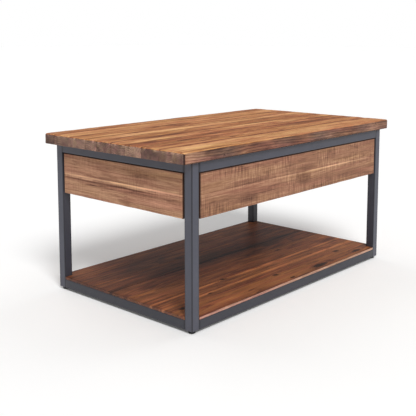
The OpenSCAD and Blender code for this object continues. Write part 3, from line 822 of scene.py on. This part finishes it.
def tube(node, axis):
    """Square tube, its wall showing at open ends. Legs are closed at the top. Painted shade darkens leg corners
    and inward faces, rail ends, bottom rail undersides and whole rails.
    """
    a, b = box_mm(node)
    u, v = [i for i in range(3) if i != axis]
    width, length = b[u] - a[u], b[axis] - a[axis]
    centre = (a + b) / 2
    outer = ring_profile(width / 2, OUTER_RADIUS)
    inner = ring_profile(width / 2 - WALL, INNER_RADIUS)

    def loop(profile, s, inset=0.0):
        scale = (width / 2 - inset) / (width / 2)
        out = np.zeros((len(profile), 3))
        out[:, u], out[:, v] = centre[u] + profile[:, 0] * scale, centre[v] + profile[:, 1] * scale
        out[:, axis] = a[axis] + s
        return out

    rounded = [(0.0, 0.9), (0.45, 0.25), (0.9, 0.0)]  # place along the tube, and inset
    stations = rounded + [(s, 0.0) for s in np.linspace(8, length - 8, max(2, round(length / 60)))]
    stations += [(length - s, c) for s, c in rounded[::-1]]
    loops = [loop(inner, MOUTH), loop(inner, 0.0)] + [loop(outer, s, c) for s, c in stations]
    shape = Shape()
    if axis == 2:
        shape.sweep(loops, cap_start=False)
    else:
        loops += [loop(inner, length), loop(inner, length - MOUTH)]
        shape.sweep(loops, cap_start=False, cap_end=False)
    made = shape.piece(node, FRAME_PAINT, 40)
    points = np.concatenate(shape.points)
    local = np.abs(points - centre)
    corner = np.minimum(local[:, u], local[:, v]) > width / 2 - OUTER_RADIUS - 0.05
    # Painted shade on legs: a dark line down each rounded corner, and the faces turned toward the middle darker.
    if axis == 2:
        toward_middle = np.sign(centre[:2]) * (points[:, :2] - centre[:2])
        inward = (toward_middle < 0.5 - width / 2).any(axis=1)
        grime = np.maximum(corner * 0.95, inward * 0.5)
    else:
        # Painted shade on rails: dark lines at the ends against the legs, a dark underside on the bottom rails,
        # and each whole rail darker, the bottom rails most.
        s = points[:, axis] - a[axis]
        at_end = depth_in(s, 0, length) < 1.0
        lowest = node.startswith("bottom")
        underside = (points[:, 2] < a[2] + 2.0) * lowest
        level = np.full(len(points), 0.78 if lowest else 0.3)
        grime = np.maximum.reduce([at_end * 0.95, underside * 0.95, level])
    store(made, rub=corner, grime=grime)


# ---- storage box ----


def solids(node):
    """Lowest and highest corner of each solid of a CAD node, in millimetres."""
    data = frame["nodes"][node].data
    hundredths = np.round(np.array([v.co for v in data.vertices]) * 1e5)
    points, label = np.unique(hundredths, axis=0, return_inverse=True)
    faces = [label.ravel()[list(polygon.vertices)] for polygon in data.polygons]
    group, before = np.arange(len(points)), None
    while not np.array_equal(group, before):
        before = group.copy()
        for face in faces:
            group[face] = group[face].min()
    parts = [points[group == g] / 100.0 for g in np.unique(group)]
    found = [(part.min(0), part.max(0)) for part in parts]
    return sorted(found, key=lambda f: tuple((f[0] + f[1]).round(2)))


def box_bottom():
    """The bottom board, notched round the legs and slightly bowed."""
    a, b = box_mm("box_bottom")
    notch_x, notch_y = clear_of_legs()
    xs = with_lines(ticks(a[0], b[0], 12.0), (-notch_x, notch_x))
    ys = with_lines(ticks(a[1], b[1], 12.0), (-notch_y, notch_y))
    zs = ticks(a[2], b[2], 4.0)
    p, quads = lattice(xs, ys, zs, lambda x, y, z: (abs(x) < notch_x) | (abs(y) < notch_y))
    x, y, z = p.copy().T
    ease_all(p, a, b, 0.6)
    bow = 0.25 + 0.25 * noise(201, x / 160, y / 130)
    p[:, 2] += np.where(z < (a[2] + b[2]) / 2, bow * 0.5, -bow * 0.5)
    tone = 0.06 * noise(202, x / 200, y / 60)
    board("box_bottom", p, quads, BOX_WOOD, tone, (300.0, 30.0, -250.0))


def plain_boards(node, material, run):
    """Boards with worn edges, one for each solid of the CAD node."""
    shape, starts = Shape(), []
    for n, (a, b) in enumerate(solids(node)):
        p, quads = lattice(ticks(a[0], b[0], 14.0), ticks(a[1], b[1], 14.0), ticks(a[2], b[2], 8.0))
        starts.append(p.copy())
        wear = 0.8 + 0.3 * noise(211, p[:, run] / 30, p[:, 2] / 30, n)
        ease_all(p, a, b, wear)
        shape.add(p, quads)
    x, y, _ = np.concatenate(starts).T
    tone = 0.08 * noise(212, x / 90, y / 70)
    points = np.concatenate(shape.points)
    board(node, points, shape.faces, material, tone, (500.0, 60.0, -300.0))


# ---- small hardware ----


def cross_recess(centre, axis, radius, shape):
    """The face of a screw head: a low dome with a cross recess, rim on the given radius."""
    u, v = square_to(axis)
    half = [m / 3.3 for m in (0.0, 0.3, 0.5, 1.0, 1.7, 2.2, 2.6, 3.3)]
    line = np.array([-m for m in half[:0:-1]] + half)
    gx, gy = np.meshgrid(line, line, indexing="ij")
    big = np.maximum(abs(gx), abs(gy))
    scale = np.where(big > 0, big / np.maximum(np.hypot(gx, gy), 1e-9), 1)
    rounder = 1 + (scale - 1) * step(0.5, 0.9, big)
    px, py = gx * rounder * radius, gy * rounder * radius
    slot = (np.minimum(abs(gx), abs(gy)) < 0.13) & (big < 0.62)
    level = 0.1 * (1 - (px**2 + py**2) / radius**2) - np.where(slot, 1.3 * (1 - big / 0.9), 0)
    points = centre + px[..., None] * u + py[..., None] * v + level[..., None] * -axis
    at = np.arange(len(line) ** 2).reshape(len(line), len(line))
    quads = np.stack([at[:-1, :-1], at[1:, :-1], at[1:, 1:], at[:-1, 1:]], -1)
    shape.add(points.reshape(-1, 3), quads.reshape(-1, 4))


def screws(node, upward=False):
    """Countersunk screws with a thread, one per solid. Heads face the middle, or down."""
    shape = Shape()
    for a, b in solids(node):
        centre = (a + b) / 2
        along = int(np.argmax(b - a))
        axis = np.zeros(3)
        axis[along] = 1.0 if upward or centre[along] > 0 else -1.0
        length = (b - a)[along]
        head = centre - axis * length / 2
        radius = (b - a)[(along + 1) % 3] / 2
        profile = [(0.05, radius * 0.97), (0.25, radius), (0.5, radius * 0.97), (2.3, 1.75)]
        t = 2.9
        while t < length - 3.2:
            profile += [(t, 1.35), (t + 0.45, 1.95), (t + 0.6, 1.95)]
            t += 1.25
        profile += [(length - 2.4, 1.2), (length - 0.1, 0.15)]
        shape.lathe(head, axis, profile, 20)
        cross_recess(head + axis * 0.12, axis, radius * 0.96, shape)
    shape.piece(node, ZINC, 30)


def turned(node, profile, material=ZINC):
    """Pins along X, one per solid, turned from the end nearest the middle outward."""
    shape = Shape()
    for a, b in solids(node):
        out = 1.0 if (a + b)[0] > 0 else -1.0
        _, y, z = (a + b) / 2
        shape.lathe(np.array([a[0] if out > 0 else b[0], y, z]), (out, 0, 0), profile, 36)
    shape.piece(node, material, 30)


def plated(node, width=0.5):
    """A CAD plate copied and given rounded edges that show wear."""
    bm = bmesh.new()
    bm.from_mesh(frame["nodes"][node].data)
    bmesh.ops.remove_doubles(bm, verts=bm.verts, dist=2e-6)
    bmesh.ops.dissolve_limit(bm, angle_limit=radians(1), verts=bm.verts, edges=bm.edges)
    steep = radians(50)
    sharp = [e for e in bm.edges if len(e.link_faces) == 2 and e.calc_face_angle(0) > steep]
    how = {"offset": width * MM, "segments": 2, "profile": 0.5, "clamp_overlap": True}
    bevel = bmesh.ops.bevel(bm, geom=sharp, affect="EDGES", **how)
    bm.verts.index_update()
    rubbed = {v.index for f in bevel["faces"] for v in f.verts}
    data = bpy.data.meshes.new(f"v_{node}")
    bm.to_mesh(data)
    bm.free()
    made = placed(f"v_{node}", data, BRACKET_PAINT, 35)
    store(made, rub=[i in rubbed for i in range(len(data.vertices))], grime=0.0)
    stands_for(made, [node])


def feet():
    """Levelling feet: a round glide, a ribbed stem and a plug inside the leg."""
    shape = Shape()
    for leg in LEGS:
        a, b = box_mm(f"leg_{leg}")
        centre = np.array([(a[0] + b[0]) / 2, (a[1] + b[1]) / 2, 0.0])
        glide = [(0.0, 7.0), (0.12, 8.6), (0.6, 9.6), (1.4, 10.0), (3.6, 10.0), (4.4, 9.6)]
        glide += [(4.9, 8.8), (5.1, 7.4), (5.6, 7.1), (a[2] - 0.1, 7.1)]
        shape.lathe(centre, (0, 0, 1), glide, 40)
        ridge = [(0.0, 0.5), (0.4, 0.7), (a[2] - 5.2, 0.7), (a[2] - 5.0, 0.5)]
        for k in range(12):
            turn = k * pi / 6
            place = centre + np.array([cos(turn) * 7.0, sin(turn) * 7.0, 5.0])
            shape.lathe(place, (0, 0, 1), ridge, 8)
        half = (b[0] - a[0]) / 2 - WALL - 0.3
        loops = []
        for z, inset in ((-0.2, 0.6), (0.6, 0.0), (15.0, 0.0), (17.8, 1.6)):
            outline = centre[:2] + ring_profile(half - inset, 1.2)
            loops.append(np.column_stack([outline, np.full(len(outline), a[2] + z)]))
        shape.sweep(loops)
    shape.piece("levelling_feet", PLASTIC, 35)


def bumpers():
    """Small rubber domes on the frame, under the closed top."""
    shape = Shape()
    for a, b in solids("lid_bumpers"):
        x, y, _ = (a + b) / 2
        r, h = (b[0] - a[0]) / 2, b[2] - a[2]
        dome = [(0, r), (h * 0.35, r), (h * 0.7, r * 0.93), (h * 0.93, r * 0.75), (h, r * 0.45)]
        shape.lathe(np.array([x, y, a[2]]), (0, 0, 1), dome + [(h, 0.2)], 32)
    shape.piece("lid_bumpers", RUBBER)


def bead(shape, p, q, radius):
    """A weld: a round line with ripples."""
    p, q = np.array(p, float), np.array(q, float)
    length = np.linalg.norm(q - p)
    s = np.arange(0, length, 0.4)
    path = p + (q - p) * (s / length)[:, None]
    ends = step(0, 2.0, depth_in(s, 0, length))
    size = radius * (0.35 + 0.65 * ends) * (1 + 0.13 * np.cos(s * 2 * pi / 1.7))
    shape.wire(path, size, 10)


def welds():
    """Beads in the corners between each leg and its rails."""
    shape = Shape()
    corner = box_mm("leg_front_left")[1]
    x, y = -corner[0], -corner[1]
    low, high = (v[2] for v in box_mm("top_rail_front"))
    rail_low = box_mm("bottom_rail_front")[0][2]
    board_low = box_mm("shelf_board_4")[0][2]
    for sx in (-1, 1):
        for sy in (-1, 1):
            for z_a, z_b in ((low + 1, high - 1), (rail_low + 2, board_low - 2)):
                bead(shape, (sx * x, sy * y, z_a), (sx * x, sy * y, z_b), 2.0)
            bead(shape, (sx * x, sy * (y + 2.5), low), (sx * x, sy * (y + 26), low), 1.4)
            bead(shape, (sx * (x + 2.5), sy * y, low), (sx * (x + 26), sy * y, low), 1.4)
    made = shape.object("frame_welds", FRAME_PAINT)
    # Painted shade: the beads a little darker, in the corners between legs and rails.
    store(made, rub=0.0, grime=0.2)
    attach(made, BODY_OF["leg_front_left"])


# ---- lift mechanism. Profiles are (place along the pin, radius) ----

RIVET = [(0, 1.4), (0.12, 3.2), (0.5, 5), (1.1, 6.1), (1.7, 6.5), (2.2, 6.5)]
BASE_PIN = RIVET + [
    (2.2, 4), (6.6, 4), (6.6, 7.6), (6.9, 8), (9.1, 8), (9.4, 7.6), (9.4, 4), (12.35, 4),
]
TOP_PIN = RIVET + [
    (2.2, 4), (5.2, 4), (5.2, 7.7), (5.4, 8), (6.3, 8), (6.5, 7.7), (6.5, 4), (10.9, 4),
    (10.9, 6.5), (11.6, 6.5), (12.2, 5.8), (12.6, 4.6), (12.9, 1.4),
]
ANCHOR_PIN = [
    (0, 4.6), (0.25, 5.3), (0.6, 5.5), (1.2, 5.4), (1.5, 5), (1.5, 3.5), (23.6, 3.5), (24, 3.2),
]
BUFFER = [
    (0, 3.6), (0.2, 4.4), (0.8, 5), (3.4, 5), (3.7, 4.7), (4, 5), (6.9, 5), (7.6, 4.6),
    (8, 4.2), (8, 3), (11, 3),
]


def sync_bar():
    """The round bar that joins the drive arms, with a weld collar at each end."""
    a, b = box_mm("sync_bar")
    _, y, z = (a + b) / 2
    r, length = (b[1] - a[1]) / 2, b[0] - a[0]
    collar = [(0.0, r - 1.5), (0.0, r + 1.2), (0.8, r + 1.4), (1.9, r + 0.9), (2.8, r)]
    profile = collar + [(t, r) for t in np.linspace(12, length - 12, 20)]
    profile += [(length - t, q) for t, q in collar[::-1]]
    shape = Shape()
    shape.lathe((a[0], y, z), (1, 0, 0), profile, 36)
    store(shape.piece("sync_bar", BRACKET_PAINT, 35), rub=0.0, grime=0.0)


# Spring, in mm: radii of wire and coil, half sizes of the end loops, from a pin to the end of its
# loop and to the coils, and from the lower end of the drive arm to the stud
WIRE, COIL, LOOP_LONG, LOOP_WIDE = 0.95, 6.0, 6.6, 4.7
HOOK, COIL_INSET, STUD_INSET = 5.2, 14.0, 9.0
TURNS, PER_TURN = 58, 14


def spring(side):
    """An extension spring from the anchor pin to the stud of the drive arm."""
    joint = next(j for j in frame["joints"] if j["name"] == f"spring_turn_{side}")
    anchor = np.array(joint["pos_m"]) / MM
    a, b = box_mm(f"spring_{side}")
    start = np.array([(a[0] + b[0]) / 2, anchor[1], anchor[2]])
    stud_y, stud_z = b[1] - HOOK - 1.0, box_mm(f"drive_arm_{side}")[0][2] + STUD_INSET
    span = np.array([0.0, stud_y - anchor[1], stud_z - anchor[2]])
    length = np.linalg.norm(span)
    along = span / length
    across = np.array([0.0, -along[2], along[1]])
    sideways = np.array([1.0, 0.0, 0.0])
    loop_turns = np.linspace(-0.25 * pi, 1.25 * pi, 26)

    def end_loop(middle, t, way):
        return middle + across * LOOP_WIDE * cos(t) + along * (way * LOOP_LONG * sin(t))

    path = [end_loop(start, t, -1) for t in loop_turns[::-1]]
    for t in np.linspace(0, 1, 8)[1:-1]:
        goal = start + along * (HOOK + (COIL_INSET - HOOK) * t) + across * 0.5
        path.append(path[-1] * (1 - 0.35) + goal * 0.35)
    body = np.linspace(0, TURNS * 2 * pi, TURNS * PER_TURN)
    taper = 2.5 * pi
    for t in body:
        s = COIL_INSET + (length - 2 * COIL_INSET) * t / body[-1]
        grow = min(1.0, 0.35 + t / taper, 0.35 + (body[-1] - t) / taper)
        round_about = across * cos(t) + sideways * sin(t)
        path.append(start + along * s + COIL * grow * round_about)
    tail = [end_loop(start + span, t, 1) for t in loop_turns]
    path += [path[-1] * (1 - t) + tail[0] * t for t in np.linspace(0, 1, 6)[1:-1]] + tail
    shape = Shape()
    shape.wire(np.array(path), WIRE, 8)
    made = shape.piece(f"spring_{side}", ZINC)
    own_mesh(made)


# ---- camera, light and floor ----

EYE = (-1.946, -1.660, 0.815)  # m
YAW, PITCH = 0.837, 0.125  # rad, from +Y toward +X, and downward
LENS, SENSOR = 66.2, 36.0  # mm
SHIFT_Y = -0.188
FLOOR_HALF = 4e4  # mm
SKY_LIGHT, SKY_SEEN = 0.29, 1.0  # strength as a light, and as the background
# Suns: name, direction they stand in, strength, spread in degrees
LAMPS = [
    ("key", (-0.5, -0.8, 0.95), 2.3, 24.0),
    ("fill", (0.8, -0.1, 0.9), 0.35, 40.0),
    ("rear", (0.1, 0.8, 1.0), 0.4, 40.0),
]


def aimed(name, data, sight):
    """A camera or lamp that looks along sight."""
    made = bpy.data.objects.new(name, data)
    made.rotation_mode = "QUATERNION"
    made.rotation_quaternion = Vector(sight).to_track_quat("-Z", "Y")
    SCENE.collection.objects.link(made)
    return made


def stage():
    """The camera of the photograph, soft studio light and a plain pale floor."""
    level = cos(PITCH)
    camera = bpy.data.cameras.new("camera")
    camera.lens, camera.sensor_width, camera.shift_y = LENS, SENSOR, SHIFT_Y
    camera.clip_start, camera.clip_end = 0.05, 100.0
    eye = aimed("camera", camera, (sin(YAW) * level, cos(YAW) * level, -sin(PITCH)))
    eye.location = EYE
    SCENE.camera = eye
    for name, toward, power, spread in LAMPS:
        data = bpy.data.lights.new(name, "SUN")
        data.energy, data.angle = power, radians(spread)
        aimed(name, data, -Vector(toward))

    world = bpy.data.worlds.new("studio")
    SCENE.world = world
    world.use_nodes = True
    tree = world.node_tree
    sky = tree.nodes["Background"]
    sky.inputs[0].default_value = (1.0, 1.0, 1.0, 1.0)
    seen = tree.nodes.new("ShaderNodeLightPath").outputs["Is Camera Ray"]
    strength = tree.nodes.new("ShaderNodeMapRange")
    strength.inputs[3].default_value, strength.inputs[4].default_value = SKY_LIGHT, SKY_SEEN
    tree.links.new(seen, strength.inputs[0])
    tree.links.new(strength.outputs[0], sky.inputs[1])
    SCENE.view_settings.view_transform = "Standard"

    glow = {"Emission Color": (1.0, 1.0, 1.0, 1.0), "Emission Strength": 0.07}
    g = Graph("floor", **{"Specular IOR Level": 0.1}, **glow)
    cloud = g.noise(g.place, 0.6, 2.0)
    g.finish(g.ramp(cloud, (0.3, srgb(250, 250, 250)), (0.7, srgb(253, 253, 252))), 0.9)
    f = FLOOR_HALF
    corners = [(-f, -f, 0), (f, -f, 0), (f, f, 0), (-f, f, 0)]
    floor = mesh("floor", corners, [(0, 1, 2, 3)], g.material)


# ---- the table ----

top_slab()
shelf()
for node_name, look in APRONS.items():
    apron(node_name, *look)
for leg in LEGS:
    tube(f"leg_{leg}", 2)
for height in ("top", "bottom"):
    for side_name, direction in (("front", 0), ("rear", 0), ("left", 1), ("right", 1)):
        tube(f"{height}_rail_{side_name}", direction)
box_bottom()
plain_boards("hinge_boards", BOX_WOOD_END, 1)
plain_boards("bottom_cleats", BOX_WOOD, 0)
feet()
bumpers()
welds()
turned("base_pivot_pins", BASE_PIN)
turned("top_pivot_pins", TOP_PIN)
turned("spring_anchor_pins", ANCHOR_PIN)
turned("stop_buffers", BUFFER, RUBBER)
for hand in ("left", "right"):
    plated(f"base_bracket_{hand}")
    plated(f"drive_arm_{hand}", 0.6)
    plated(f"guide_arm_{hand}", 0.6)
    plated(f"top_bracket_{hand}")
plated("box_tabs", 0.4)
screws("box_screws")
screws("base_bracket_screws")
screws("top_bracket_screws", upward=True)
sync_bar()
for hand in ("left", "right"):
    spring(hand)
stage()
